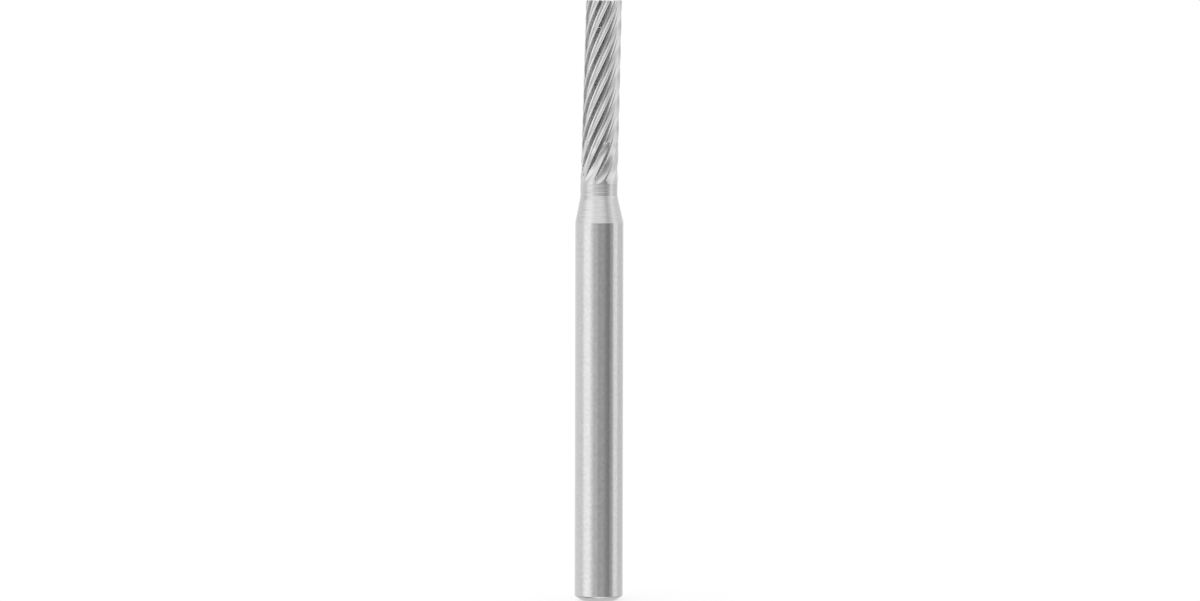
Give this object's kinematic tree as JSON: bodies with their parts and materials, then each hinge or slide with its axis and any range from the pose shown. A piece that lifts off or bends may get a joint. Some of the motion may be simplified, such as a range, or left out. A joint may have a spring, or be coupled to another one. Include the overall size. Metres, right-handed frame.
{
  "type": "carbide burr",
  "caption": "Miniature cylindrical carbide burr: slim head with right-hand spiral flutes, ground neck and cone, and a plain round shank with a chamfered end.",
  "frame": {"origin": "centre of the flat end face of the shank, on the shank's axis", "axes": "+Z along the shank's axis towards the cutting tip; +X is the side that the head leans towards; -Y is the side that faces the viewer in the picture"},
  "size_m": [0.003, 0.003, 0.0373],
  "materials": {
    "carbide": "sintered tungsten carbide, bare neutral grey; shank centreless-ground to a satin finish, cone and neck ground with fine rings, flutes ground bright"
  },
  "bodies": {
    "root": {"burr": "carbide"}
  },
  "joints": []
}
